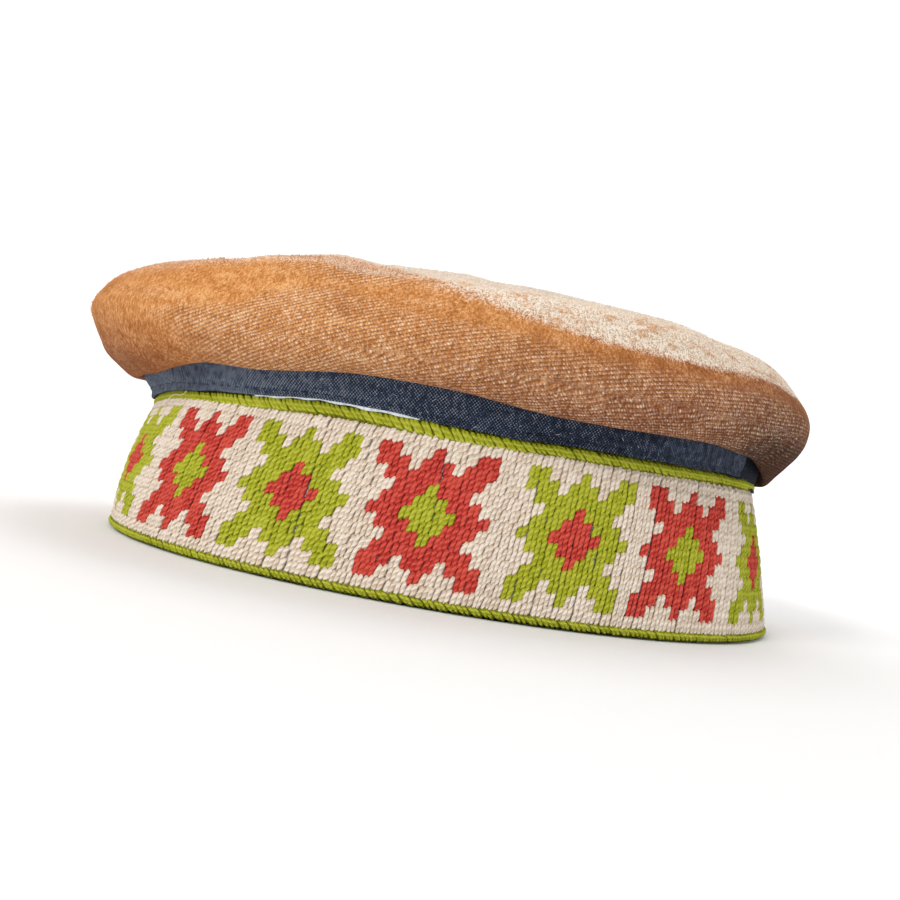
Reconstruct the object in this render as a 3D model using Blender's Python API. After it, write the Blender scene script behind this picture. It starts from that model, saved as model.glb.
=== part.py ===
"""Gilgiti cap: a soft velvet crown on a flared band of wool embroidery.

Metres, +Z up. The cap rests on the lower edge of its band at z = 0 and its front faces -Y.
Each piece is swept round one oval, the outer outline of the band's foot. A direction round the
oval is a turn in degrees: 0 is the front, 90 the right end (+X), -90 the left end.
"""

import math

import bmesh
import bpy
import numpy as np
from mathutils import Vector

MM = 0.001
GAP = 0.3 * MM
TURNS = 72

# The oval and the band that stands on it. The band's wall leans in as it rises, and bulges a little.
FOOT_HALF_LONG = 104 * MM
FOOT_HALF_WIDE = 83.3 * MM
BAND_RISE = 39.7 * MM
BAND_WALL = 3 * MM
LEAN_IN = 8.7 * MM
LEAN_MORE_AT_RIGHT = 1.5 * MM
BAND_BULGE = 0.8 * MM

# The whipped wool edges of the band, thicker than its wall.
LOWER_EDGING_RISE = 2.2 * MM
UPPER_EDGING_RISE = 2.8 * MM
EDGING_STANDS_PROUD = 0.6 * MM
EDGING_ROUND = 0.8 * MM

# The cotton lining inside the band, and the cotton strip round its top.
LINING_WALL = 1 * MM
BINDING_RISE = 9.6 * MM
BINDING_WALL = 1.2 * MM
BINDING_FLARE = 2.2 * MM
FLARE_MORE_AT_LEFT = 1.2 * MM

# The velvet crown. Its foot stands inside the strip and its top is a low dome. Its heights are all
# above the foot of the strip.
VELVET = 2 * MM
CROWN_CENTRE_X = -5 * MM
CROWN_CREST = 48.8 * MM
SPAN_STEPS = 2

# Each row is a direction, how far the crown reaches out past the band's top, how far from the strip
# its underside is lowest, the height of that place, of its widest point and of the ridge of its
# shoulder, and the height of its top halfway to the middle.
CROWN_COLUMNS = ("turn", "reach", "dip", "sag", "belly", "shoulder", "halfway")
CROWN_SECTIONS = (
    (-150, 19, 4, 2, 20, 30, 44),
    (-120, 22, 3, 0, 19.5, 28, 44.5),
    (-90, 25, 3, -0.5, 19, 25.8, 44.5),
    (-75, 23, 3, -1, 19, 26.3, 44),
    (-60, 19.5, 3, 0.5, 19, 27.5, 44),
    (-45, 17, 4, 5.6, 19, 29.5, 44),
    (-30, 15, 5, 6.2, 19, 30, 43),
    (-15, 13.5, 5, 8.2, 19, 30, 42),
    (0, 13, 5, 8, 19, 30, 42),
    (15, 13, 5, 6.5, 19, 30, 42),
    (30, 13, 5, 7, 19, 30, 42),
    (45, 13, 4, 7, 20, 30, 42.5),
    (60, 13, 3, 2.5, 20.5, 30, 43),
    (75, 12.5, 2.5, 1, 20, 29.3, 44),
    (90, 12, 2.5, 1, 20, 29, 44.5),
    (120, 14, 3, 1.5, 20.5, 29.5, 45),
    (150, 15, 4, 3, 20, 31, 44),
    (180, 16, 4, 3, 20, 31, 44),
)

# Soft swells and dips of the crown's cloth. Each row is a place on the plan, the direction in which
# the fold runs, its length and width, and its height, which is negative for a dip.
FOLD_COLUMNS = ("x", "y", "runs", "length", "width", "height")
FOLDS = (
    (-66, -12, 80, 80, 34, -2.2),
    (-38, -10, 75, 60, 24, 0.5),
    (52, -25, -20, 90, 30, 1),
)

COLOURS = {
    "velvet": (0.50, 0.20, 0.06),
    "navy_cotton": (0.025, 0.04, 0.08),
    "lime_wool": (0.38, 0.42, 0.02),
    "cream_wool": (0.80, 0.66, 0.52),
}


def clear_scene():
    for thing in list(bpy.data.objects):
        bpy.data.objects.remove(thing)


def cloth(name, colour, roughness):
    """A plain material for one piece."""
    made = bpy.data.materials.new(name)
    made.use_nodes = True
    shader = made.node_tree.nodes["Principled BSDF"]
    shader.inputs["Base Color"].default_value = (*COLOURS[colour], 1)
    shader.inputs["Roughness"].default_value = roughness
    shader.inputs["Metallic"].default_value = 0
    return made


def oval_point(turn):
    """The point of the oval in this direction, and the way straight out from it."""
    angle = math.radians(turn)
    point = np.array((FOOT_HALF_LONG * math.sin(angle), -FOOT_HALF_WIDE * math.cos(angle)))
    out = np.array((FOOT_HALF_WIDE * math.sin(angle), -FOOT_HALF_LONG * math.cos(angle)))
    return point, out / np.linalg.norm(out)


def through(knots, values, at):
    """A smooth curve through the values at their knots, read at one place."""
    slopes = np.gradient(np.asarray(values, float), np.asarray(knots, float), axis=0)
    i = int(np.clip(np.searchsorted(knots, at, side="right") - 1, 0, len(knots) - 2))
    span = knots[i + 1] - knots[i]
    s = (at - knots[i]) / span
    start = (1 + 2 * s) * (1 - s) ** 2 * values[i] + s * (1 - s) ** 2 * span * slopes[i]
    end = s * s * (3 - 2 * s) * values[i + 1] + s * s * (s - 1) * span * slopes[i + 1]
    return start + end


def crown_section(turn):
    """The crown's named sizes in this direction, read smoothly round the table, in metres."""
    rows = np.array(CROWN_SECTIONS, float)
    before, after = rows[-2:].copy(), rows[:2].copy()
    before[:, 0] -= 360
    after[:, 0] += 360
    rows = np.vstack((before, rows, after))
    if turn > 180:
        turn -= 360
    sizes = through(rows[:, 0], rows[:, 1:], turn) * MM
    return dict(zip(CROWN_COLUMNS[1:], sizes))


def fold_height(x, y):
    """How far the folds lift the crown's top at this place on the plan."""
    lift = 0
    for row in FOLDS:
        fold = dict(zip(FOLD_COLUMNS, row))
        angle = math.radians(fold["runs"])
        dx = x - fold["x"] * MM
        dy = y - fold["y"] * MM
        along = (dx * math.cos(angle) + dy * math.sin(angle)) / (fold["length"] * MM / 2)
        across = (dy * math.cos(angle) - dx * math.sin(angle)) / (fold["width"] * MM / 2)
        lift += fold["height"] * MM * math.exp(-along * along - across * across)
    return lift


def lean_at(turn):
    """How far in the band's top stands from its foot in this direction."""
    return LEAN_IN + LEAN_MORE_AT_RIGHT * math.sin(math.radians(turn))


def flare_at(turn):
    """How far out the top of the strip stands from its foot in this direction."""
    return BINDING_FLARE - FLARE_MORE_AT_LEFT * math.sin(math.radians(turn))


def swept_ring(name, section_at, material):
    """A closed ring. Its cross-section in a direction is a loop of (out, up) points."""
    mesh = bpy.data.meshes.new(name)
    built = bmesh.new()
    loops = []
    for step in range(TURNS):
        turn = 360 * step / TURNS
        point, out = oval_point(turn)
        loops.append([built.verts.new((*(point + out * o), z)) for o, z in section_at(turn)])
    for step in range(TURNS):
        here, after = loops[step], loops[(step + 1) % TURNS]
        for k in range(len(here)):
            j = (k + 1) % len(here)
            built.faces.new((here[k], after[k], after[j], here[j]))
    return finished(name, mesh, built, material)


def finished(name, mesh, built, material):
    """The object of a built mesh, facing outwards and shaded smooth."""
    bmesh.ops.recalc_face_normals(built, faces=built.faces)
    built.to_mesh(mesh)
    built.free()
    mesh.shade_smooth()
    mesh.set_sharp_from_angle(angle=math.radians(40))
    mesh.materials.append(material)
    piece = bpy.data.objects.new(name, mesh)
    bpy.context.collection.objects.link(piece)
    return piece


def wall_section(outer_face, thick):
    """A wall from the (out, up) points of its outer face, foot first, and its thickness."""
    return outer_face + [(out - thick, up) for out, up in reversed(outer_face)]


def edging_section(low, high, outer):
    """A flat-footed edge with its two upper and two lower corners rounded off."""
    inner = outer - BAND_WALL - 2 * EDGING_STANDS_PROUD
    r = EDGING_ROUND
    return [
        (inner + r, low),
        (outer - r, low),
        (outer, low + r),
        (outer, high - r),
        (outer - r, high),
        (inner + r, high),
        (inner, high - r),
        (inner, low + r),
    ]


BAND_FOOT = LOWER_EDGING_RISE + GAP
BAND_TOP = BAND_FOOT + BAND_RISE
UPPER_EDGING_FOOT = BAND_TOP + GAP
UPPER_EDGING_TOP = UPPER_EDGING_FOOT + UPPER_EDGING_RISE
COLLAR_FOOT = UPPER_EDGING_TOP + GAP
COLLAR_TOP = COLLAR_FOOT + BINDING_RISE


def band_face(turn, out):
    """The leaning face of the band in this direction, moved out by this much."""
    lean = lean_at(turn)
    middle = (out + BAND_BULGE - lean / 2, (BAND_FOOT + BAND_TOP) / 2)
    return [(out, BAND_FOOT), middle, (out - lean, BAND_TOP)]


def build_lower_edging():
    def section_at(_):
        return edging_section(0, LOWER_EDGING_RISE, EDGING_STANDS_PROUD)

    return swept_ring("lower_edging", section_at, cloth("lime_edge_low", "lime_wool", 0.9))


def build_embroidered_band():
    def section_at(turn):
        return wall_section(band_face(turn, 0), BAND_WALL)

    return swept_ring("embroidered_band", section_at, cloth("embroidery", "cream_wool", 0.9))


def build_upper_edging():
    def section_at(turn):
        outer = EDGING_STANDS_PROUD - lean_at(turn)
        return edging_section(UPPER_EDGING_FOOT, UPPER_EDGING_TOP, outer)

    return swept_ring("upper_edging", section_at, cloth("lime_edge_high", "lime_wool", 0.9))


def build_lining():
    """The lining hangs inside the band and reaches the surface that the cap rests on."""
    outer = -BAND_WALL - EDGING_STANDS_PROUD - GAP

    def section_at(turn):
        face = [(outer, 0), *band_face(turn, outer)[1:], (outer - lean_at(turn), UPPER_EDGING_TOP)]
        return wall_section(face, LINING_WALL)

    return swept_ring("lining", section_at, cloth("lining_cotton", "navy_cotton", 0.85))


def build_binding():
    def section_at(turn):
        foot = -lean_at(turn)
        face = [(foot, COLLAR_FOOT), (foot + flare_at(turn), COLLAR_TOP)]
        return wall_section(face, BINDING_WALL)

    return swept_ring("binding", section_at, cloth("binding_cotton", "navy_cotton", 0.85))


def crown_profile(turn):
    """The crown's outer face in this direction, from its foot to the edge of its middle.

    Each station is (share, out, up): a share of the way from the middle to the oval, then out.
    """
    size = crown_section(turn)
    lean = lean_at(turn)
    flare = flare_at(turn)
    neck = -lean - BINDING_WALL - GAP
    edge = flare - lean
    widest = size["reach"] - lean
    dip = edge + size["dip"]
    under = widest - dip
    rise = size["belly"] - size["sag"]
    above = size["shoulder"] - size["belly"]
    halfway = size["halfway"]
    stations = np.array((
        (1, neck, 0),
        (1, neck + flare, BINDING_RISE + GAP),
        (1, edge + 2 * GAP, BINDING_RISE + 2 * GAP),
        (1, dip, size["sag"]),
        (1, dip + 0.45 * under, size["sag"] + 0.16 * rise),
        (1, dip + 0.78 * under, size["sag"] + 0.42 * rise),
        (1, widest, size["belly"]),
        (1, widest - 0.4 * above, size["belly"] + 0.7 * above),
        (0.945, widest - 0.4 * above, size["shoulder"] + 0.4 * above),
        (0.8, 0.8 * widest, size["shoulder"] + 0.6 * (halfway - size["shoulder"])),
        (0.55, 0.5 * widest, halfway),
        (0.28, 0.2 * widest, halfway + 0.75 * (CROWN_CREST - halfway)),
    ))
    stations[:, 2] += COLLAR_FOOT
    knots = np.arange(len(stations), dtype=float)
    last = len(stations) - 1
    places = np.linspace(0, last, last * SPAN_STEPS + 1)
    return [through(knots, stations, place) for place in places]


def build_crown():
    """The crown is one shell, open below where a head goes in."""
    mesh = bpy.data.meshes.new("crown")
    built = bmesh.new()
    loops = []
    for step in range(TURNS):
        turn = 360 * step / TURNS
        point, out = oval_point(turn)
        loop = []
        for share, reach, z in crown_profile(turn):
            x, y = point * share + out * reach
            x += CROWN_CENTRE_X * (1 - share)
            lift = fold_height(x, y) if share < 1 else 0
            loop.append(built.verts.new((x, y, z + lift)))
        loops.append(loop)
    for step in range(TURNS):
        here, after = loops[step], loops[(step + 1) % TURNS]
        for k in range(len(here) - 1):
            built.faces.new((here[k], after[k], after[k + 1], here[k + 1]))
    crest = COLLAR_FOOT + CROWN_CREST + fold_height(CROWN_CENTRE_X, 0)
    middle = built.verts.new((CROWN_CENTRE_X, 0, crest))
    for step in range(TURNS):
        built.faces.new((loops[step][-1], loops[(step + 1) % TURNS][-1], middle))
    piece = finished("crown", mesh, built, cloth("crown_velvet", "velvet", 0.8))
    solid = piece.modifiers.new("velvet", "SOLIDIFY")
    solid.thickness = VELVET
    solid.offset = -1
    return piece


def centre_on_origin(pieces):
    """Moves the pieces together until the cap's length and width are centred on the origin."""
    corners = [Vector(corner) for piece in pieces for corner in piece.bound_box]
    for axis in (0, 1):
        places = [corner[axis] for corner in corners]
        middle = (min(places) + max(places)) / 2
        for piece in pieces:
            piece.location[axis] = -middle


def build_cap():
    clear_scene()
    pieces = [
        build_lower_edging(),
        build_embroidered_band(),
        build_upper_edging(),
        build_lining(),
        build_binding(),
        build_crown(),
    ]
    bpy.context.view_layer.update()
    centre_on_origin(pieces)


build_cap()
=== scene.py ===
"""Gilgiti cap: the finish of every piece of the cap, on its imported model.

Metres, +Z up. The cap stands on its lower edge at z = 0 and its front faces -Y.
"""

import math

import bmesh
import bpy
import numpy as np
from mathutils import Matrix, Vector, noise


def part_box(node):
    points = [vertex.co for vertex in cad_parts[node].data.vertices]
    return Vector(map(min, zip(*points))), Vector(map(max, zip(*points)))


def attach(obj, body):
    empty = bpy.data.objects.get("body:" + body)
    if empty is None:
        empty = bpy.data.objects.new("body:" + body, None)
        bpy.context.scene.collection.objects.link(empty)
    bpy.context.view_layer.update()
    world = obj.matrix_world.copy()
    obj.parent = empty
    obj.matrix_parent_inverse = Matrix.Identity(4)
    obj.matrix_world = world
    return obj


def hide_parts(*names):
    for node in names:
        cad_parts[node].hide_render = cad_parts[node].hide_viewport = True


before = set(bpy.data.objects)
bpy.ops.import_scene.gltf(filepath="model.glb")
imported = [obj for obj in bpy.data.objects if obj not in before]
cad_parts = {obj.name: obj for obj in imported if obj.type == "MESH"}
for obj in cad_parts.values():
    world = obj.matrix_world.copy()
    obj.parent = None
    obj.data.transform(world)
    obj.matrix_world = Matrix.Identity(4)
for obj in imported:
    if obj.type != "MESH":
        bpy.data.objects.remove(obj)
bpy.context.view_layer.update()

# The ground of the band: a strip of white even-weave canvas, sewn end to end into a flared oval.
# The wool stitches hide nearly all of it. It shows as blue-white specks between them.

MM = 0.001
CANVAS_UNDER_WOOL = 0.75 * MM
CANVAS_WHITE = (0.72, 0.77, 0.88)

band_low, band_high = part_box("embroidered_band")
top_low, top_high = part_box("upper_edging")
EDGE_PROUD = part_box("lower_edging")[1].x - band_high.x
MIDDLE = (band_low + band_high) / 2
HALF_LONG = (band_high.x - band_low.x) / 2
HALF_WIDE = (band_high.y - band_low.y) / 2
BAND_FOOT = band_low.z
BAND_TOP = band_high.z
BAND_RISE = BAND_TOP - BAND_FOOT
BAND_BULGE = 0.7 * MM
LEFT_BULGE = 1.0 * MM
LEFT_SLUMP = 4.8 * MM
LEAN_LEFT = top_low.x + EDGE_PROUD - band_low.x
LEAN_RIGHT = band_high.x - top_high.x + EDGE_PROUD
BAND_WALL = 3 * MM

# The oval is measured round its foot in stitches, 0 at the middle of the front, positive to the right.
STITCHES_ROUND = 209
HALF_ROUND = STITCHES_ROUND / 2
TURNS = np.linspace(-math.pi, math.pi, 7201)


def oval_lengths():
    """The length round the oval at each of TURNS, in stitches from the middle of the front."""
    steps = np.hypot(np.diff(HALF_LONG * np.sin(TURNS)), np.diff(HALF_WIDE * np.cos(TURNS)))
    run = np.concatenate(([0], np.cumsum(steps)))
    return (run / run[-1] - 0.5) * STITCHES_ROUND


LENGTHS = oval_lengths()


def turn_at(place):
    """The turn in radians at a place that is given in stitches."""
    wrapped = (np.asarray(place, float) + HALF_ROUND) % STITCHES_ROUND - HALF_ROUND
    return np.interp(wrapped, LENGTHS, TURNS)


def oval_frame(turn):
    """Points of the foot's oval, and the ways straight out from them."""
    turn = np.asarray(turn, float)
    points = np.stack((HALF_LONG * np.sin(turn), -HALF_WIDE * np.cos(turn)), -1)
    outs = np.stack((HALF_WIDE * np.sin(turn), -HALF_LONG * np.cos(turn)), -1)
    return points, outs / np.linalg.norm(outs, axis=-1, keepdims=True)


def turns_of(places):
    """The turn in radians at which each of these points lies."""
    return np.arctan2((places[:, 0] - MIDDLE.x) / HALF_LONG, -(places[:, 1] - MIDDLE.y) / HALF_WIDE)


def lean_at(turn):
    """How far the band's top has leaned in from its foot: more at one end than at the other."""
    return (LEAN_LEFT + LEAN_RIGHT) / 2 + (LEAN_RIGHT - LEAN_LEFT) / 2 * np.sin(turn)


def near(turn, centre, width, power=2):
    """1 at this turn in degrees, falling to 0 over the width in degrees on each side."""
    off = (np.degrees(turn) - centre + 180) % 360 - 180
    return np.exp(-(np.abs(off / width) ** power))


def droop_at(turn):
    """How far the band's top edge has sunk at the left end, where the cap has slumped."""
    return LEFT_SLUMP * near(turn, -95, 30, 3)


def band_points(turn, height, out=0.0):
    """Points of the band's face at these turns and heights, moved out by this much."""
    points, outs = oval_frame(turn)
    share = np.clip((np.asarray(height, float) - BAND_FOOT) / BAND_RISE, 0, 1)
    bulge = BAND_BULGE + LEFT_BULGE * near(turn, -85, 35)
    reach = out - lean_at(turn) * share + bulge * (1 - (2 * share - 1) ** 2)
    flat = points + outs * np.asarray(reach)[..., None]
    up = height - droop_at(turn) * share ** 2
    return np.stack((flat[..., 0] + MIDDLE.x, flat[..., 1] + MIDDLE.y, up + 0 * flat[..., 0]), -1)


def add_object(name, data):
    """An object of this mesh, curve, light or camera, in the scene."""
    made = bpy.data.objects.new(name, data)
    bpy.context.collection.objects.link(made)
    return made


def add_piece(name, points, faces, material):
    """A mesh object of these points and faces, facing outwards and shaded smooth."""
    mesh = bpy.data.meshes.new(name)
    mesh.from_pydata([tuple(map(float, p)) for p in points], [], faces)
    mesh.materials.append(material)
    built = bmesh.new()
    built.from_mesh(mesh)
    bmesh.ops.recalc_face_normals(built, faces=built.faces)
    built.to_mesh(mesh)
    built.free()
    mesh.shade_smooth()
    return add_object(name, mesh)


def ring_faces(count, steps, closed=True):
    """Faces between neighbouring lines of points along a ring, or along an arc with two ends."""
    faces = []
    for i in range(count):
        j = (i + 1) % count
        for k in range(steps if closed else steps - 1):
            n = (k + 1) % steps
            faces.append((i * steps + k, i * steps + n, j * steps + n, j * steps + k))
    return faces


def ring_piece(name, rows, material):
    """A closed ring from rows of points round the cap. Each row is one line along the ring."""
    rows = np.array(rows)
    return add_piece(name, rows.reshape(-1, 3), ring_faces(*rows.shape[:2]), material)


def new_material(name, colour, roughness, sheen=0.0, sheen_tint=(1, 1, 1)):
    """A plain fibre surface, and its node tree, to which each cloth adds its own pattern."""
    material = bpy.data.materials.new(name)
    material.use_nodes = True
    material.diffuse_color = (*colour, 1)
    tree = material.node_tree
    shader = tree.nodes["Principled BSDF"]
    shader.inputs["Base Color"].default_value = (*colour, 1)
    shader.inputs["Roughness"].default_value = roughness
    shader.inputs["Specular IOR Level"].default_value = 0.2
    shader.inputs["Sheen Weight"].default_value = sheen
    shader.inputs["Sheen Roughness"].default_value = 0.4
    shader.inputs["Sheen Tint"].default_value = (*sheen_tint, 1)
    return material, tree, shader


def node(tree, kind, settings=None, **inputs):
    """A node whose inputs are set by name: a value, or the output socket that feeds it."""
    made = tree.nodes.new(kind)
    for key, value in (settings or {}).items():
        setattr(made, key, value)
    for key, value in inputs.items():
        socket = made.inputs[int(key[1:])] if key[0] == "i" and key[1:].isdigit() else made.inputs[key]
        if isinstance(value, bpy.types.NodeSocket):
            tree.links.new(value, socket)
        else:
            socket.default_value = value
    return made


def maths(tree, operation, a, b=0.0, c=0.0):
    return node(tree, "ShaderNodeMath", {"operation": operation}, i0=a, i1=b, i2=c).outputs[0]


def times(tree, first, *others):
    """The product of these values."""
    for other in others:
        first = maths(tree, "MULTIPLY", first, other)
    return first


def weighed(tree, *terms):
    """The sum of these values, each times its weight."""
    total = 0.0
    for value, weight in terms:
        total = maths(tree, "MULTIPLY_ADD", value, weight, total)
    return total


def attribute(tree, name, output="Vector"):
    return node(tree, "ShaderNodeAttribute", {"attribute_name": name}).outputs[output]


def split(tree, vector):
    """The three numbers of a vector."""
    return node(tree, "ShaderNodeSeparateXYZ", None, Vector=vector).outputs


def spread(tree, value, low, high, to_low=0.0, to_high=1.0):
    """The value, spread smoothly from the range low to high onto the range to_low to to_high."""
    made = node(tree, "ShaderNodeMapRange", {"interpolation_type": "SMOOTHSTEP"}, Value=value)
    made.inputs["From Min"].default_value = low
    made.inputs["From Max"].default_value = high
    made.inputs["To Min"].default_value = to_low
    made.inputs["To Max"].default_value = to_high
    return made.outputs[0]


def blended(tree, share, first, second):
    """A colour that goes from the first to the second as the share goes from 0 to 1."""
    made = node(tree, "ShaderNodeMix", {"data_type": "RGBA"})
    for index, value in ((0, share), (6, first), (7, second)):
        if isinstance(value, bpy.types.NodeSocket):
            tree.links.new(value, made.inputs[index])
        else:
            made.inputs[index].default_value = (*value, 1) if index else value
    return made.outputs[2]


def stretched_noise(tree, place, stretch, detail=3.0, seed=0.0):
    """Fine noise with this many cells a metre along X, Y and Z."""
    mapping = node(tree, "ShaderNodeMapping", None, Vector=place, Scale=stretch)
    mapping.inputs["Location"].default_value = (seed, seed, seed)
    made = node(tree, "ShaderNodeTexNoise", None, Vector=mapping.outputs[0], Scale=1.0, Detail=detail)
    return made.outputs["Fac"]


def object_place(tree):
    return node(tree, "ShaderNodeTexCoord").outputs["Object"]


def bumped(tree, shader, height, distance):
    """Relief on the surface: this distance deep where the height goes from 0 to 1."""
    bump = node(tree, "ShaderNodeBump", None, Height=height, Distance=distance, Strength=1.0)
    tree.links.new(bump.outputs[0], shader.inputs["Normal"])


def paint(tree, shader, share, first, second):
    """The surface's colour, which goes from the first to the second."""
    tree.links.new(blended(tree, share, first, second), shader.inputs["Base Color"])


def crossed_threads(tree, on_cloth):
    """The humps of a plain weave, at a place on the cloth that is given in threads."""
    return times(tree, maths(tree, "SINE", on_cloth[0]), maths(tree, "SINE", on_cloth[1]))


def canvas_material():
    """Even-weave canvas: a square grid of thick and thin threads, with painted shade in the hollows between
    them.
    """
    material, tree, shader = new_material("canvas_cloth", CANVAS_WHITE, 0.9, 0.2)
    weave = crossed_threads(tree, split(tree, attribute(tree, "weave")))
    bumped(tree, shader, weave, 0.25 * MM)
    # Painted shade: grey where the weave's humps are low, between the threads.
    grey = tuple(0.6 * c for c in CANVAS_WHITE)
    paint(tree, shader, spread(tree, weave, -1.0, 0.6), grey, CANVAS_WHITE)
    return material


def read_values(items, field, kind=float, wide=3):
    """One field of all of a mesh's points, corners or faces, as an array with a row for each."""
    values = np.empty(len(items) * wide, kind)
    items.foreach_get(field, values)
    return values.reshape(-1, wide) if wide > 1 else values


def store_vectors(mesh, name, vectors):
    """A named vector on each point of a mesh, for its material or its node tree to read."""
    stored = mesh.attributes.new(name, "FLOAT_VECTOR", "POINT")
    stored.data.foreach_set("vector", np.asarray(vectors, np.float32).ravel())


def set_weave(piece, pitch, shade=0.0):
    """Stores where each point lies on the cloth, in threads, and how much painted shade the cloth has
    there.
    """
    places = read_values(piece.data.vertices, "co")
    run = np.interp(turns_of(places), TURNS, LENGTHS) / STITCHES_ROUND
    threads_round = 2 * math.pi * round(CLOTH_ROUND / pitch)
    grid = np.stack((run * threads_round, places[:, 2] * 2 * math.pi / pitch, shade + 0 * run), -1)
    store_vectors(piece.data, "weave", grid)


CLOTH_ROUND = 590 * MM
CANVAS_PITCH = 1.4 * MM
RING_STEPS = 720
ring_turns = np.linspace(-math.pi, math.pi, RING_STEPS, endpoint=False)


def make_canvas():
    heights = np.linspace(BAND_FOOT, BAND_TOP, 9)
    rows = [band_points(ring_turns, z, -CANVAS_UNDER_WOOL) for z in heights]
    rows += [band_points(ring_turns, z, -BAND_WALL) for z in heights[::-1]]
    canvas = ring_piece("canvas", rows, canvas_material())
    set_weave(canvas, CANVAS_PITCH)
    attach(canvas, "root")
    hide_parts("embroidered_band")


make_canvas()

# The embroidery: upright stitches of two-ply wool, one a square of the canvas, 13 rows high.
# Sixteen motifs of eleven stitches run round, lime with a red heart and red with a lime one by turns.
# Each stitch leans a little, so that a column of them looks like a rope.

ROWS_HIGH = 13
ROW_RISE = BAND_RISE / ROWS_HIGH
MOTIF_WIDE = 11
MOTIFS_ROUND = 16
CHART = (
    "RR...R...RR",
    "RRR.RRR.RRR",
    ".RRRRRRRRR.",
    "..RRRLRRR..",
    ".RRRLLLRRR.",
    "RRRLLLLLRRR",
    ".RRRLLLRRR.",
    "..RRRLRRR..",
    ".RRRRRRRRR.",
    "RRR.RRR.RRR",
    "RR...R...RR",
)
SWAPPED = str.maketrans("RL", "LR")

# Worked by hand, the motifs that face the front vary. Each row is where one starts and ends at the
# foot and at the top of the band, in stitches from the middle of the front, and the cream columns
# that come after it.
MOTIF_COLUMNS = ("foot_start", "foot_end", "top_start", "top_end", "plain_after")
FRONT_MOTIFS = (
    (-46.8, -36.0, -43.0, -32.3, 2),
    (-33.5, -22.9, -30.8, -21.0, 2),
    (-21.1, -8.9, -19.5, -8.8, 2),
    (-7.1, 3.8, -7.1, 4.5, 3),
    (6.1, 16.6, 7.4, 19.0, 2),
    (18.0, 29.0, 20.8, 32.7, 2),
    (31.7, 42.6, 36.3, 47.4, 2),
)

# Each wool's middle, light and dark colour. The light and dark ones are also the painted highlight and
# painted shade on every ply.
WOOL = {
    "natural": ((0.735, 0.59, 0.455), (0.93, 0.825, 0.71), (0.41, 0.29, 0.20)),
    "red": ((0.50, 0.035, 0.028), (0.72, 0.10, 0.07), (0.16, 0.008, 0.010)),
    "lime": ((0.345, 0.375, 0.012), (0.51, 0.53, 0.05), (0.095, 0.11, 0.004)),
}
STITCH_WIDE = 2.82 * MM
PLY_WIDE = 1.40 * MM
PLY_HIGH = 1.25 * MM
PLY_LONG = ROW_RISE * 1.08
PLY_FULL = 1.09
PLY_LEANS = 0.30
PLY_STAGGER = 0.06
PLY_SUNK = 0.45 * MM
PLY_DIVE = 0.55 * MM
BELOW_BAND = 0.3 * MM
STITCH_SEED = 11


def wool_material(kind):
    """Wool: a soft matt yarn, with a painted highlight on its crown and along its twist, and painted shade
    where two strands meet.
    """
    middle, light, dark = WOOL[kind]
    material, tree, shader = new_material(f"{kind}_wool", middle, 0.92, 0.35, light)
    tone = attribute(tree, "tone", "Fac")
    along, across, proud = split(tree, attribute(tree, "strand"))
    around = maths(tree, "ARCTAN2", across, proud)
    fibres = maths(tree, "SINE", weighed(tree, (around, 2.0), (along, 3.6 / MM)))
    fuzz = stretched_noise(tree, object_place(tree), (2600, 2600, 500), 4.0)
    bumped(tree, shader, weighed(tree, (fibres, 0.6), (fuzz, 1.0)), 0.24 * MM)
    # Painted highlight where the strand faces out and painted shade on its sides, where it meets the next;
    # tone and fuzz vary at random.
    crown = spread(tree, proud, -0.1 * MM, 0.5 * MM)
    lit = weighed(tree, (crown, 0.70), (fuzz, 0.6), (tone, 0.40), (fibres, 0.24))
    deep = blended(tree, spread(tree, lit, 0.20, 0.85), dark, middle)
    paint(tree, shader, spread(tree, lit, 0.85, 1.40), deep, light)
    return material


def stitch_columns():
    """For each column of stitches: where it lies at the foot and the top, and its colour chart."""
    motifs = [dict(zip(MOTIF_COLUMNS, row)) for row in FRONT_MOTIFS]
    hidden = MOTIFS_ROUND - len(motifs)
    first, last = motifs[0], motifs[-1]
    for k in range(hidden):
        row = {"plain_after": 2}
        for end in ("foot", "top"):
            start = last[f"{end}_end"]
            room = first[f"{end}_start"] + STITCHES_ROUND - start
            cream = (room - hidden * MOTIF_WIDE) / (hidden + 1)
            row[f"{end}_start"] = start + cream + k * (MOTIF_WIDE + cream)
            row[f"{end}_end"] = row[f"{end}_start"] + MOTIF_WIDE
        motifs.append(row)
    columns = []
    for index, motif in enumerate(motifs):
        following = motifs[(index + 1) % MOTIFS_ROUND]
        rows = CHART if index % 2 else [line.translate(SWAPPED) for line in CHART]
        turn_over = STITCHES_ROUND if index == MOTIFS_ROUND - 1 else 0
        spans = [
            (motif["foot_start"], motif["foot_end"], motif["top_start"], motif["top_end"], MOTIF_WIDE),
            (
                motif["foot_end"],
                following["foot_start"] + turn_over,
                motif["top_end"],
                following["top_start"] + turn_over,
                motif["plain_after"],
            ),
        ]
        for part, (foot_from, foot_to, top_from, top_to, count) in enumerate(spans):
            for k in range(count):
                share = (k + 0.5) / count
                marks = "".join(line[k] for line in rows) if part == 0 else "." * MOTIF_WIDE
                columns.append({
                    "foot": foot_from + (foot_to - foot_from) * share,
                    "top": top_from + (top_to - top_from) * share,
                    "foot_wide": (foot_to - foot_from) / count,
                    "top_wide": (top_to - top_from) / count,
                    "marks": f".{marks}.",
                })
    return columns


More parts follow.
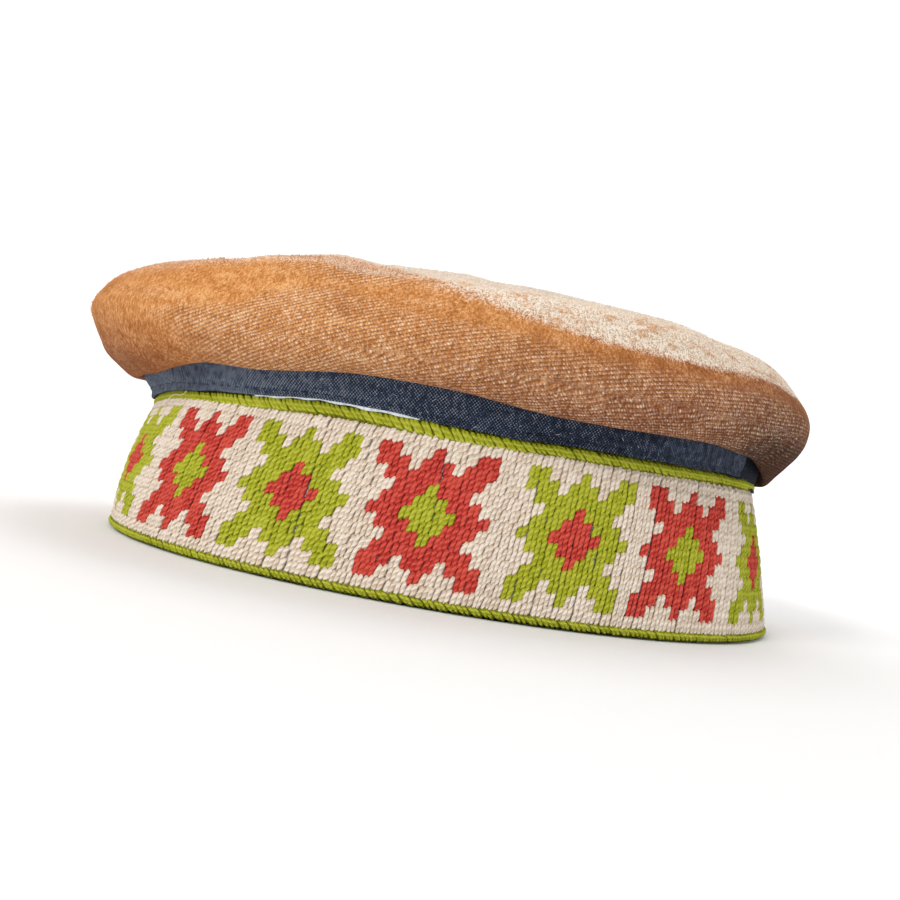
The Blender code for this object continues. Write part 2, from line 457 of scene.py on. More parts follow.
def ply_rows():
    """Every ply of wool: its middle, its direction, the way out from the band, and its size."""
    random = np.random.default_rng(STITCH_SEED)
    plies = {".": [], "R": [], "L": []}
    first_row, last_row = 1 / ROWS_HIGH, (ROWS_HIGH - 1) / ROWS_HIGH
    for column in stitch_columns():
        loose = random.normal(0, 0.04)
        for row, mark in enumerate(column["marks"]):
            share = 1 - (row + 0.5) / ROWS_HIGH
            along = (share - first_row) / (last_row - first_row)
            place = column["foot"] + (column["top"] - column["foot"]) * along + loose
            wide = column["foot_wide"] + (column["top_wide"] - column["foot_wide"]) * along
            tightness = random.normal(0, 0.04)
            for side in (-1, 1):
                shift = side * 0.25 * wide + random.normal(0, 0.025)
                stagger = side * PLY_STAGGER * ROW_RISE + random.normal(0, 0.10) * MM
                height = BAND_FOOT + share * BAND_RISE + stagger
                reach = PLY_LONG / 2 * (1 + tightness)
                slope = PLY_LEANS * ROW_RISE / STITCH_WIDE / 2 * (1 + random.normal(0, 0.2))
                low_high = (max(height - reach, BAND_FOOT - BELOW_BAND), height + reach)
                turns = turn_at(np.array((place + shift - slope, place + shift + slope, place + shift)))
                ends = band_points(turns[:2], np.array(low_high), -PLY_SUNK)
                normal = oval_frame(turns[2])[1]
                size = (
                    np.linalg.norm(ends[1] - ends[0]) / PLY_LONG,
                    wide * STITCH_WIDE / PLY_WIDE / 2 * (PLY_FULL + random.normal(0, 0.05)),
                    1 + random.normal(0, 0.08),
                )
                plies[mark].append((ends.mean(0), ends[1] - ends[0], (*normal, 0.12), size))
    return plies


def points_mesh(name, rows):
    """Loose points for a node tree to sew onto: each row is a point, the direction that its thread
    lies in, the way that it faces, and its size."""
    mesh = bpy.data.meshes.new(name)
    mesh.from_pydata([tuple(map(float, row[0])) for row in rows], [], [])
    for index, field in enumerate(("lies", "faces", "size"), 1):
        store_vectors(mesh, field, [row[index] for row in rows])
    return add_object(name, mesh)


class Thread:
    """A geometry node tree that lays one strand of thread on every point that it is given."""

    def __init__(self, name, sizes, material):
        self.tree = bpy.data.node_groups.new(name, "GeometryNodeTree")
        self.tree.is_modifier = True
        face = self.tree.interface
        face.new_socket("Geometry", in_out="INPUT", socket_type="NodeSocketGeometry")
        self.sizes = {}
        for label, value in sizes.items():
            socket = face.new_socket(label, in_out="INPUT", socket_type="NodeSocketFloat")
            socket.default_value = value
            self.sizes[socket.identifier] = value
        face.new_socket("Geometry", in_out="OUTPUT", socket_type="NodeSocketGeometry")
        self.given = self.tree.nodes.new("NodeGroupInput")
        self.material = material

    def node(self, kind, settings=None, **inputs):
        return node(self.tree, kind, settings, **inputs)

    def maths(self, operation, a, b=0.0, c=0.0):
        return maths(self.tree, operation, a, b, c)

    def times(self, *values):
        return times(self.tree, *values)

    def size(self, label):
        return self.given.outputs[label]

    def field(self, name):
        settings = {"data_type": "FLOAT_VECTOR"}
        return self.node("GeometryNodeInputNamedAttribute", settings, Name=name).outputs["Attribute"]

    def tube(self, curve, radius, width, sides=6):
        """A tube along the curve, its radius changing along it, with a place stored on each point."""
        curve = self.node("GeometryNodeSetCurveRadius", None, Curve=curve, Radius=radius).outputs[0]
        circle = self.node("GeometryNodeCurvePrimitiveCircle", None, Resolution=sides, Radius=width)
        made = self.node("GeometryNodeCurveToMesh", None, Curve=curve)
        self.tree.links.new(circle.outputs[0], made.inputs["Profile Curve"])
        made.inputs["Fill Caps"].default_value = True
        return self.store("strand", made.outputs[0], self.node("GeometryNodeInputPosition").outputs[0])

    def store(self, name, geometry, value, kind="FLOAT_VECTOR", domain="POINT"):
        made = self.node(
            "GeometryNodeStoreNamedAttribute",
            {"data_type": kind, "domain": domain},
            Geometry=geometry,
            Name=name,
        )
        self.tree.links.new(value, made.inputs["Value"])
        return made.outputs[0]

    def sew(self, strand, seed):
        """Lays the strand on each point, turned to its direction, and finishes the tree."""
        turn = self.node("FunctionNodeAxesToRotation", {"primary_axis": "X", "secondary_axis": "Z"})
        self.tree.links.new(self.field("lies"), turn.inputs[0])
        self.tree.links.new(self.field("faces"), turn.inputs[1])
        laid = self.node("GeometryNodeInstanceOnPoints", None, Points=self.given.outputs[0])
        self.tree.links.new(strand, laid.inputs["Instance"])
        self.tree.links.new(turn.outputs[0], laid.inputs["Rotation"])
        self.tree.links.new(self.field("size"), laid.inputs["Scale"])
        tone = self.node("FunctionNodeRandomValue", {"data_type": "FLOAT"}, Seed=seed)
        toned = self.store("tone", laid.outputs[0], tone.outputs[1], "FLOAT", "INSTANCE")
        real = self.node("GeometryNodeRealizeInstances", None, Geometry=toned)
        smooth = self.node("GeometryNodeSetShadeSmooth", None, Geometry=real.outputs[0])
        done = self.node("GeometryNodeSetMaterial", None, Geometry=smooth.outputs[0])
        done.inputs["Material"].default_value = self.material
        out = self.tree.nodes.new("NodeGroupOutput")
        self.tree.links.new(done.outputs[0], out.inputs[0])

    def piece(self, name, holder, slot):
        """The finished mesh of the tree on these points, as a piece of the cap."""
        modifier = holder.modifiers.new("sewn", "NODES")
        modifier.node_group = self.tree
        for identifier, value in self.sizes.items():
            modifier[identifier] = value
        graph = bpy.context.evaluated_depsgraph_get()
        mesh = bpy.data.meshes.new_from_object(holder.evaluated_get(graph))
        bpy.data.objects.remove(holder)
        mesh.name = name
        made = add_object(name, mesh)
        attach(made, "root")


def ply_thread(material):
    """One ply of a stitch: it rises out of the canvas, swells, and dives back in."""
    sizes = {"Length": PLY_LONG, "Width": PLY_WIDE, "Height": PLY_HIGH, "Dive": PLY_DIVE}
    thread = Thread("wool_ply", sizes, material)
    line = thread.node("GeometryNodeCurvePrimitiveLine")
    points = thread.node("GeometryNodeResampleCurve", None, Curve=line.outputs[0], Count=6)
    along = thread.node("GeometryNodeSplineParameter").outputs["Factor"]
    middle = thread.maths("SINE", thread.times(thread.maths("SUBTRACT", along, 0.5), math.pi))
    away = thread.maths("POWER", thread.maths("ABSOLUTE", middle), 4.0)
    dive = thread.times(away, -1.0, thread.size("Dive"))
    reach = thread.times(middle, thread.size("Length"), 0.5)
    place = thread.node("ShaderNodeCombineXYZ", None, X=reach, Z=dive)
    bent = thread.node("GeometryNodeSetPosition", None, Geometry=points.outputs[0])
    thread.tree.links.new(place.outputs[0], bent.inputs["Position"])
    blunt = thread.maths("SUBTRACT", 1.0, thread.times(away, 0.80))
    taper = thread.maths("POWER", blunt, 0.5)
    tube = thread.tube(bent.outputs[0], taper, thread.times(thread.size("Width"), 0.5))
    flat = thread.node("GeometryNodeTransform", None, Geometry=tube)
    ratio = thread.maths("DIVIDE", thread.size("Height"), thread.size("Width"))
    scale = thread.node("ShaderNodeCombineXYZ", None, X=1.0, Y=1.0, Z=ratio)
    thread.tree.links.new(scale.outputs[0], flat.inputs["Scale"])
    thread.sew(flat.outputs[0], STITCH_SEED)
    return thread


def make_embroidery():
    names = {".": "natural", "R": "red", "L": "lime"}
    for mark, rows in ply_rows().items():
        kind = names[mark]
        thread = ply_thread(wool_material(kind))
        thread.piece(f"{kind}_stitches", points_mesh(f"{kind}_points", rows), "embroidered_band")


make_embroidery()

# The lining: plain navy cotton inside the band, with its fold at the foot. A thin dark line of it
# shows under the lower edge at the left.

# NAVY_DARK is also the cotton's painted shade, and NAVY_PALE its painted highlight.
NAVY = (0.030, 0.047, 0.090)
NAVY_PALE = (0.27, 0.32, 0.41)
NAVY_DARK = (0.008, 0.011, 0.022)
DUST_GREY = (0.40, 0.40, 0.42)
LINING_WALL = 1 * MM
LINING_PITCH = 0.62 * MM
LINING_RIPPLE = 0.10 * MM
LINING_SEED = 3


def cotton_material(name, dust):
    """Plain-weave cotton: fine threads of two blues, faded in places, with a little dust on it, painted
    lighter to the left and darker to the right, and darkened by painted shade where its weave stores it.
    """
    material, tree, shader = new_material(name, NAVY, 0.88, 0.25, (0.5, 0.6, 0.8))
    place = object_place(tree)
    on_cloth = split(tree, attribute(tree, "weave"))
    shade = on_cloth[2]
    slubs = stretched_noise(tree, place, (900, 900, 420), 4.0)
    streaks = stretched_noise(tree, place, (160, 160, 1500), 3.0, 4.0)
    faded = stretched_noise(tree, place, (45, 45, 90), 3.0, 9.0)
    specks = stretched_noise(tree, place, (2100, 2100, 2100), 1.0, 2.0)
    threads = times(tree, crossed_threads(tree, on_cloth), spread(tree, slubs, 0.35, 0.65, 0.45, 1.25))
    bumped(tree, shader, weighed(tree, (threads, 1.0), (slubs, 1.0)), 0.20 * MM)
    # Painted light and shade: lighter towards the left, darker towards the right, and darker still where
    # the weave stores painted shade.
    painted_side_light = spread(tree, split(tree, place)[0], 60 * MM, -40 * MM, -0.22, 0.18)
    light = weighed(tree, (threads, 0.60), (slubs, 1.0), (painted_side_light, 1.0), (shade, -1.0))
    light = weighed(tree, (light, 1.0), (streaks, 0.5), (faded, 0.7))
    tree.links.new(maths(tree, "MULTIPLY_ADD", shade, -0.2, 0.2), shader.inputs["Sheen Weight"])
    deep = blended(tree, spread(tree, light, 0.70, 1.1), NAVY_DARK, NAVY)
    cloth = blended(tree, spread(tree, light, 1.15, 1.65), deep, NAVY_PALE)
    paint(tree, shader, times(tree, spread(tree, specks, 0.70, 0.78), dust), cloth, DUST_GREY)
    return material


def make_lining():
    low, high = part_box("lining")
    outer = high.x - band_high.x
    waves = np.random.default_rng(LINING_SEED).normal(0, 1, (3, 2))
    heights = np.linspace(low.z, high.z, 14)

    def ripple(height):
        turns = sum(
            w[0] * np.sin((5 + 4 * k) * ring_turns + 60 * w[1] * height) for k, w in enumerate(waves)
        )
        return LINING_RIPPLE * turns

    rows = [band_points(ring_turns, z, outer + ripple(z)) for z in heights]
    rows += [band_points(ring_turns, z, outer - LINING_WALL + ripple(z)) for z in heights[::-1]]
    lining = ring_piece("lining_cloth", rows, cotton_material("lining_cotton", 0.3))
    set_weave(lining, LINING_PITCH)
    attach(lining, "root")
    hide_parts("lining")


make_lining()

# The two edges of the band: lime wool whipped over canvas and lining, two plies a stitch, each ply
# slanting down to the right. The cap rests on the lower one.

WHIP_WIDE = 0.98 * MM
WHIP_SUNK = 0.45 * MM
WHIP_APART = 0.215
WHIP_SEED = 5
EDGE_HALF = BAND_WALL / 2 + EDGE_PROUD
PADDING_UNDER_WOOL = 0.6 * MM
FLOOR_GAP = 0.24 * MM


def whip_thread(name, rise, slant, material):
    """One ply of a whip stitch: a slanting loop of wool right round the edge."""
    sizes = {
        "Width": WHIP_WIDE,
        "Half thickness": EDGE_HALF - WHIP_SUNK,
        "Half rise": rise,
        "Slant": slant,
    }
    thread = Thread(name, sizes, material)
    circle = thread.node("GeometryNodeCurvePrimitiveCircle", None, Resolution=14, Radius=1.0)
    parts = split(thread.tree, thread.node("GeometryNodeInputPosition").outputs[0])
    along = thread.times(parts[1], -1.0, thread.size("Slant"))
    inward = thread.times(parts[0], -1.0, thread.size("Half thickness"))
    up = thread.times(parts[1], thread.size("Half rise"))
    loop = thread.node("ShaderNodeCombineXYZ", None, X=along, Y=inward, Z=up)
    bent = thread.node("GeometryNodeSetPosition", None, Geometry=circle.outputs[0])
    thread.tree.links.new(loop.outputs[0], bent.inputs["Position"])
    tube = thread.tube(bent.outputs[0], 1.0, thread.times(thread.size("Width"), 0.5))
    rising = rise / math.hypot(slant, rise)
    slanting = slant / math.hypot(slant, rise)
    spot = split(thread.tree, thread.field("strand"))
    across = weighed(thread.tree, (spot[2], slanting), (spot[0], rising))
    lengthways = weighed(thread.tree, (spot[2], rising), (spot[0], -slanting))
    # How far out the loop faces, which the wool's painted highlight and shade follow.
    proud = thread.maths("SUBTRACT", thread.maths("ABSOLUTE", spot[1]), thread.size("Half thickness"))
    proud = thread.maths("ADD", proud, 0.22 * MM)
    own = thread.node("ShaderNodeCombineXYZ", None, X=lengthways, Y=across, Z=proud)
    thread.sew(thread.store("strand", tube, own.outputs[0]), WHIP_SEED)
    return thread


# Worked by hand, the upper whipping wanders. Each row is a turn in degrees, how far the whipping lies
# there below the level of the upper edge, and how tall it is, both in millimetres.
EDGE_COLUMNS = ("turn", "below", "tall")
UPPER_EDGE = (
    (-150, 1.0, 3.9),
    (-110, 1.4, 4.4),
    (-76, 1.4, 4.4),
    (-64, 1.7, 4.6),
    (-44, 1.35, 4.2),
    (-36, 0.9, 4.9),
    (-28, 0.1, 5.2),
    (-22, -0.5, 4.6),
    (-15, -0.4, 4.3),
    (-5, 0.3, 5.6),
    (0, 0.8, 5.4),
    (9, 0.8, 4.6),
    (14, 0.3, 4.3),
    (22, 0.2, 4.4),
    (36, 0.1, 4.2),
    (50, -0.3, 4.0),
    (60, -0.1, 3.9),
    (100, 0.6, 3.7),
    (150, 1.0, 3.9),
)
LOWER_EDGE = ((0, 0.0, 2.9),)


def from_table(table, columns, name, place, period=None):
    """The named column of a table at a place in its first column, straight from row to row."""
    index = columns.index(name)
    return np.interp(place, [row[0] for row in table], [row[index] for row in table], period=period)


def along_edge(table, name, turn):
    """A column of an edge's table at a turn in radians, in metres."""
    return from_table(table, EDGE_COLUMNS, name, np.degrees(turn), 360) * MM


def whip_rows(height, rise, table):
    """Where each ply of the whipping lies: two to a stitch of the band, a little uneven."""
    random = np.random.default_rng(WHIP_SEED)
    rows = []
    for stitch in range(STITCHES_ROUND):
        for side in (-1, 1):
            place = stitch + side * WHIP_APART + random.normal(0, 0.03)
            turns = turn_at(np.array((place - 0.3, place, place + 0.3)))
            middle = band_points(turns, height, EDGE_PROUD - EDGE_HALF)
            middle[:, 2] -= along_edge(table, "below", turns)
            taller = (along_edge(table, "tall", turns[1]) - WHIP_WIDE) / 2 / rise
            size = (
                1 + random.normal(0, 0.10),
                1 + random.normal(0, 0.025),
                taller * (1 + random.normal(0, 0.05)),
            )
            jitter = (0, 0, max(random.normal(0, 0.05), -0.05) * MM)
            rows.append((middle[1] + jitter, middle[2] - middle[0], (0, 0, 1), size))
    return rows


def make_edging(name, lean, table):
    """One whipped edge: the wool loops, which lean by this share, and the padded edge they hide."""
    low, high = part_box(name)
    tallest = (along_edge(table, "tall", ring_turns) - WHIP_WIDE) / 2
    rise = tallest.mean()
    height = max((low.z + high.z) / 2, tallest.min() + WHIP_WIDE / 2 + FLOOR_GAP)
    wool = wool_material("lime")
    wool.name = f"{name}_wool"
    thread = whip_thread(f"{name}_whip", rise, rise * lean, wool)
    thread.piece(f"{name}_whipping", points_mesh(f"{name}_points", whip_rows(height, rise, table)), name)
    rows = []
    for angle in np.linspace(0, 2 * math.pi, 12, endpoint=False):
        out = EDGE_PROUD - EDGE_HALF + (EDGE_HALF - PADDING_UNDER_WOOL) * math.cos(angle)
        centre = band_points(ring_turns, height, out)
        centre[:, 2] += (tallest + 0.1 * MM) * math.sin(angle) - along_edge(table, "below", ring_turns)
        rows.append(centre)
    core = ring_piece(f"{name}_padding", rows, wool)
    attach(core, "root")
    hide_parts(name)


make_edging("lower_edging", 1.25, LOWER_EDGE)
make_edging("upper_edging", 1.2, UPPER_EDGE)

# The crown: one round of tan-brown knitted velvet, gathered into the top of the band so that it
# puffs out over it. Its pale top is a painted sheen, its knitted ground shows through the pile in
# fine slanting rows of painted glints on the sides, and painted shade darkens it to the right and
# under its overhang.

# The brown and umber are painted shade on the dark side and in the pits between the knitted rows, and the
# umber also darkens random patches. The speck colour is the painted glints, and the cream and tan are the
# painted sheen of the top.
VELVET_ORANGE = (0.60, 0.235, 0.062)
VELVET_BRIGHT = (0.86, 0.50, 0.23)
VELVET_BROWN = (0.31, 0.104, 0.040)
VELVET_UMBER = (0.052, 0.015, 0.006)
VELVET_SPECK = (1.0, 0.86, 0.72)
VELVET_CREAM = (0.91, 0.84, 0.75)
VELVET_TAN = (0.60, 0.41, 0.25)
FOLD_DEEP = 0.9 * MM
GATHERS = 62
GATHER_DEEP = 0.22 * MM
FULLER_ENDS = 0.5 * MM
RIGHT_TUCK = 2.3


def smooth_step(low, high, value):
    """0 at the low value and 1 at the high one, with a soft start and end."""
    share = np.clip((np.asarray(value, float) - low) / (high - low), 0, 1)
    return share * share * (3 - 2 * share)


def velvet_material():
    """Knitted velvet: brushed pile, painted glints in slanting rows where its ground shows, painted shade
    in the pits between them and on the dark side, and a painted sheen on top.
    """
    material, tree, shader = new_material("crown_velvet", VELVET_BROWN, 0.85, 0.05, (0.9, 0.6, 0.4))
    shader.inputs["Specular IOR Level"].default_value = 0.05
    place = object_place(tree)
    pale, showing, painted_shade = split(tree, attribute(tree, "painted_velvet_light"))
    clouds = stretched_noise(tree, place, (60, 60, 95), 4.0, 3.0)
    crush = stretched_noise(tree, place, (190, 190, 330), 4.0, 7.0)
    brushed = stretched_noise(tree, place, (1500, 1500, 480), 3.0, 2.0)
    fine = stretched_noise(tree, place, (2900, 2900, 2300), 2.0, 5.0)

    # Painted shade: the base goes from orange to brown to umber as the stored shade rises, and its bright
    # patches fade there.
    base = blended(tree, painted_shade, VELVET_ORANGE, VELVET_BROWN)
    base = blended(tree, maths(tree, "SUBTRACT", painted_shade, 1.0), base, VELVET_UMBER)
    shade = weighed(tree, (crush, 0.4), (brushed, 0.8), (clouds, 0.3), (fine, 0.7))
    lit = times(tree, spread(tree, shade, 1.04, 1.34), weighed(tree, (painted_shade, -0.3375), (1.0, 0.75)))
    base = blended(tree, lit, base, VELVET_BRIGHT)
    base = blended(tree, spread(tree, shade, 1.10, 0.84, 0.0, 0.45), base, VELVET_UMBER)

    sway = weighed(tree, (clouds, 2.4), (1.0, -1.2))
    bent = node(tree, "ShaderNodeCombineXYZ", None, X=sway, Y=times(tree, sway, 0.6)).outputs[0]
    knit = attribute(tree, "knit")
    loop = node(tree, "ShaderNodeVectorMath", {"operation": "ADD"}, i0=knit, i1=bent).outputs[0]
    knots = node(
        tree, "ShaderNodeTexVoronoi", {"voronoi_dimensions": "2D"}, Vector=loop, Scale=1.0, Randomness=0.45
    )
    row = maths(tree, "FRACT", split(tree, loop)[1])
    off_row = maths(tree, "ABSOLUTE", maths(tree, "SUBTRACT", row, 0.5))
    # Painted glints on the knitted loops where the ground shows, and painted shade in the pits between the
    # rows.
    dots = times(
        tree,
        spread(tree, knots.outputs["Distance"], 0.52, 0.15),
        showing,
        spread(tree, split(tree, knots.outputs["Color"])[0], 0.05, 0.90, 0.22, 1.0),
        spread(tree, off_row, 0.42, 0.12, 0.25, 1.0),
        spread(tree, shade, 0.95, 1.30, 0.35, 1.0),
    )
    pits = times(tree, spread(tree, off_row, 0.20, 0.48), showing, 0.46)
    base = blended(tree, pits, base, VELVET_UMBER)
    base = blended(tree, dots, base, VELVET_SPECK)

    # The painted sheen of the pale top: tan to cream by its fibre tips, in mottled patches.
    tips = weighed(tree, (fine, 0.85), (brushed, 0.45))
    top = blended(tree, spread(tree, tips, 0.56, 0.72), VELVET_TAN, VELVET_CREAM)
    thick = weighed(tree, (pale, 1.0), (tips, 1.1), (crush, 1.1))
    mottled = times(
        tree,
        spread(tree, crush, 0.52, 0.66, 1.0, 0.42),
        spread(tree, thick, 1.415, 2.065),
        spread(tree, pale, 0.0, 0.25),
    )
    # A painted sheen on the upper rim, where the surface turns away from view.
    facing = node(tree, "ShaderNodeLayerWeight", None, Blend=0.5).outputs["Facing"]
    painted_rim_sheen = times(
        tree,
        spread(tree, facing, 0.50, 0.86),
        spread(tree, tips, 0.60, 0.70),
        spread(tree, split(tree, place)[2], 72 * MM, 82 * MM, 0.0, 0.75),
    )
    paint(tree, shader, times(tree, maths(tree, "MAXIMUM", mottled, painted_rim_sheen), 0.94), base, top)
    bumped(tree, shader, weighed(tree, (fine, 0.7), (crush, 2.2), (brushed, 0.7), (dots, 0.4)), 0.34 * MM)
    return material


def crown_fold(places):
    """How far the velvet's folds and its gathers move each point out, in metres."""
    turn = turns_of(places)
    soft = np.array([
        noise.noise(Vector(p) * 22) + 0.5 * noise.noise(Vector(p) * 48 + Vector((5, 1, 2)))
        for p in places
    ])
    above = places[:, 2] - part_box("binding")[1].z
    gathers = np.sin(GATHERS * turn + 3 * np.sin(7 * turn)) * (1 - smooth_step(-2 * MM, 14 * MM, above))
    gathers *= smooth_step(-9 * MM, -2 * MM, above)
    ends = FULLER_ENDS * np.abs(np.sin(turn)) ** 6
    return FOLD_DEEP * soft + GATHER_DEEP * gathers + ends


# How the soft crown has settled, in millimetres. Its overhang hangs lower here and there round the
# front; its two ends have bellied out at some heights and sunk in at others; and its top line dips.
SAG_COLUMNS = ("turn", "lower")
SAG = (
    (-120, 0.2),
    (-90, 0.0),
    (-70, -0.3),
    (-63, -0.4),
    (-56, 0.5),
    (-48, 0.8),
    (-42, 0.4),
    (-31, 0.9),
    (-24, 0.5),
    (-16, 0.0),
    (0, 0.2),
    (9, 0.8),
    (24, 0.8),
    (40, 0.5),
    (50, 0.0),
    (53, -0.9),
    (57, -1.9),
    (60, -2.2),
    (64, -1.4),
    (70, -0.6),
    (78, 0.0),
    (120, 0.2),
)
BELLY_COLUMNS = ("height", "left", "right")
BELLY = (
    (44, -0.3, -1.0),
    (46.5, -1.2, -1.4),
    (49, -1.7, -1.3),
    (52, -1.3, -0.6),
    (55, -1.3, 0.5),
    (58, -0.7, 1.3),
    (61, 0.0, 1.5),
    (64, 0.5, 1.2),
    (67, 0.4, 0.5),
    (70, 1.1, 0.1),
    (74, 1.9, 0.0),
    (78, 1.5, -0.2),
    (81, 0.5, -0.2),
    (85, 0.0, 0.0),
)
TOP_COLUMNS = ("across", "higher")
TOP_LINE = (
    (-90, 0.0),
    (-75, -0.5),
    (-67, -1.3),
    (-62, -1.2),
    (-58, -0.5),
    (-53, -0.4),
    (-47, 0.1),
    (-42, 0.5),
    (-37, -0.1),
    (-32, -1.2),
    (-27, -0.9),
    (-22, -0.9),
    (-16, -0.6),
    (-11, -0.2),
    (-5, 0.0),
    (3, -0.5),
    (12, 0.1),
    (56, 0.3),
    (68, -1.1),
    (80, -0.8),
    (95, -0.9),
    (105, -0.6),
)


def crown_moved(places, outward):
    """The crown's points with its folds, its sag, its bellied ends and its uneven top."""
    x = (places[:, 0] - MIDDLE.x) / MM
    z = places[:, 2] / MM
    turn = turns_of(places)
    moved = places + outward * crown_fold(places)[:, None]
    level = outward * (1, 1, 0)
    level /= np.linalg.norm(level, axis=1, keepdims=True) + 1e-9
    left = from_table(BELLY, BELLY_COLUMNS, "left", z) * near(turn, -80, 32)
    right = from_table(BELLY, BELLY_COLUMNS, "right", z) * near(turn, 76, 30)
    moved += level * ((left + right) * MM)[:, None]
    lower = from_table(SAG, SAG_COLUMNS, "lower", np.degrees(turn), 360) * smooth_step(66, 55, z)
    higher = from_table(TOP_LINE, TOP_COLUMNS, "higher", x) * smooth_step(66, 78, z)
    tucked = RIGHT_TUCK * near(turn, 90, 16) * smooth_step(53, 46, z)
    moved[:, 2] += (higher - lower - tucked) * MM
    return moved


def make_crown():
    """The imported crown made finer, then moved as the soft velvet has settled."""
    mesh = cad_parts["crown"].data.copy()
    built = bmesh.new()
    built.from_mesh(mesh)
    bmesh.ops.remove_doubles(built, verts=built.verts, dist=0.01 * MM)
    bmesh.ops.join_triangles(
        built, faces=built.faces, angle_face_threshold=math.radians(40), angle_shape_threshold=math.pi
    )
    built.to_mesh(mesh)
    built.free()
    mesh.materials.clear()
    mesh.materials.append(velvet_material())
    crown = add_object("crown_velvet", mesh)
    finer = crown.modifiers.new("finer", "SUBSURF")
    finer.levels = finer.render_levels = 2
    graph = bpy.context.evaluated_depsgraph_get()
    fine = bpy.data.meshes.new_from_object(crown.evaluated_get(graph))
    crown.modifiers.clear()
    crown.data = fine
    places = read_values(fine.vertices, "co")
    outward = places - np.array((MIDDLE.x, MIDDLE.y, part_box("crown")[1].z - 40 * MM))
    outward[:, 2] *= 2.0
    outward /= np.linalg.norm(outward, axis=1, keepdims=True)
    places = crown_moved(places, outward)
    fine.vertices.foreach_set("co", places.ravel())
    fine.shade_smooth()
    fine.update()
    set_velvet(fine, places)
    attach(crown, "root")
    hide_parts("crown")
    return crown


KNIT_ROW = 1.00 * MM
KNIT_WALE = 0.66 * MM
WALE_SLANT = 0.71
EQUATOR = 60 * MM

# The crown's length round, how far it reaches out in shares of the foot's oval, and that oval's mean
# radius, all to lay the knitted rows out by. The lengths are in millimetres.
CROWN_ROUND = 640
CROWN_REACH = 1.075
MEAN_RADIUS = 94

# Where the painted light lies on the crown, in millimetres: how far up the front the brushed pile reaches
# before the painted sheen of the pale top begins, and how far up the painted glints of its knitted ground
# show.
PILE_COLUMNS = ("across", "painted_sheen_from", "ground_to")
PILE = (
    (-105, 74, 58),
    (-90, 77, 63),
    (-71, 79.5, 65.5),
    (-60, 80, 67),
    (-52, 82, 71),
    (-38, 86, 75),
    (-28, 85.5, 73.5),
    (-13, 78.6, 71),
    (0, 75.6, 70.6),
    (12, 74.0, 69.8),
    (30, 71.6, 67.8),
    (58, 71.0, 67.4),
    (82, 72.3, 68.2),
    (100, 69.2, 65),
    (110, 66.0, 61),
)

# Places higher up where the painted glints of the ground show too, in millimetres.
PATCH_COLUMNS = ("across", "height", "wide", "tall", "share")
PATCHES = (
    (-86, 67.5, 8, 1.6, 0.45),
    (-32, 79.3, 17, 3.2, 1.15),
    (-14, 73.5, 12, 2.2, 0.45),
)

# How steeply the knitted rows climb to the right, by the place round the crown in millimetres.
SLOPE_COLUMNS = ("around", "climb")
ROW_SLOPES = (
    (-300, 0.38),
    (-40, 0.40),
    (60, 0.16),
    (110, 0.03),
    (300, 0.0),
)


def set_velvet(mesh, places):
    """Stores the painted light on the velvet at each point, and where the point is on the knitted ground.

    Its stored light holds how much painted sheen lies on the pale top, how far the ground's painted glints
    show, and the painted shade: 0 orange, 1 brown, 2 umber. knit holds the place in loops along and across
    the knitted rows.
    """
    x = (places[:, 0] - MIDDLE.x) / MM
    y = (places[:, 1] - MIDDLE.y) / MM
    z = places[:, 2] / MM
    soft = 1 + 1.6 * smooth_step(30, -20, x)
    # Painted sheen on the pale top, above the height where the table says it begins.
    pale = smooth_step(-1.6, 3.2, (z - from_table(PILE, PILE_COLUMNS, "painted_sheen_from", x)) / soft)
    showing = smooth_step(2.0, -2.5, z - from_table(PILE, PILE_COLUMNS, "ground_to", x))
    showing *= smooth_step(-98, -78, x + 1.6 * (z - 65))
    for row in PATCHES:
        patch = dict(zip(PATCH_COLUMNS, row))
        off = np.hypot((x - patch["across"]) / patch["wide"], (z - patch["height"]) / patch["tall"])
        showing = np.maximum(showing, patch["share"] * np.exp(-(off**2)) * (y < 0))
    # Fewer painted glints in the painted shade low on the right, and at the far right.
    showing *= 1 - 0.9 * smooth_step(62, 48, z) * smooth_step(62, 92, x)
    showing *= 1 - 0.7 * smooth_step(90, 106, x)
    # Painted shade: darker to the right and lower down, more so under the overhang and at both ends.
    low = smooth_step(66, 47, z)
    painted_shade = smooth_step(-50, 92, x + 2.4 * (72 - z) - 20)
    painted_shade += low * (0.25 + 0.95 * smooth_step(58, 92, x) + 0.65 * smooth_step(-50, -90, x))
    painted_shade += 0.30 * smooth_step(-78, -108, x)
    painted_shade += 0.35 * smooth_step(60, 85, x) * smooth_step(76, 66, z)
    store_vectors(mesh, "painted_velvet_light", np.stack((pale, showing, painted_shade), -1))

    around = np.interp(turns_of(places), TURNS, LENGTHS) / STITCHES_ROUND * CROWN_ROUND
    widest = EQUATOR / MM
    inward = np.clip(CROWN_REACH - np.hypot(x * MM / HALF_LONG, y * MM / HALF_WIDE), 0, 1) * MEAN_RADIUS
    height = np.where(z < widest, widest - np.hypot(widest - z, inward), z)
    grid = np.arange(-CROWN_ROUND // 2, CROWN_ROUND // 2 + 1)
    climbs = np.cumsum(from_table(ROW_SLOPES, SLOPE_COLUMNS, "climb", grid))
    rows = (height - np.interp(around, grid, climbs)) * MM / KNIT_ROW
    wales = (around + height) * WALE_SLANT * MM / KNIT_WALE
    store_vectors(mesh, "knit", np.stack((wales, rows, 0 * rows), -1))


crown = make_crown()

# The pile's own hairs: fine fibres that stand up out of the velvet's top and upper sides, pale on top in
# the cream of its painted sheen and orange below. They soften the crown's outline.

PILE_HAIRS = 14000
HAIR_LONG = 0.75 * MM
HAIR_WIDE = 0.11 * MM
HAIRS_ABOVE = 62 * MM
HAIR_TOUSLE = 0.45
HAIR_LEAN = np.array((0.25, 0, 0.15))
PILE_SEED = 8


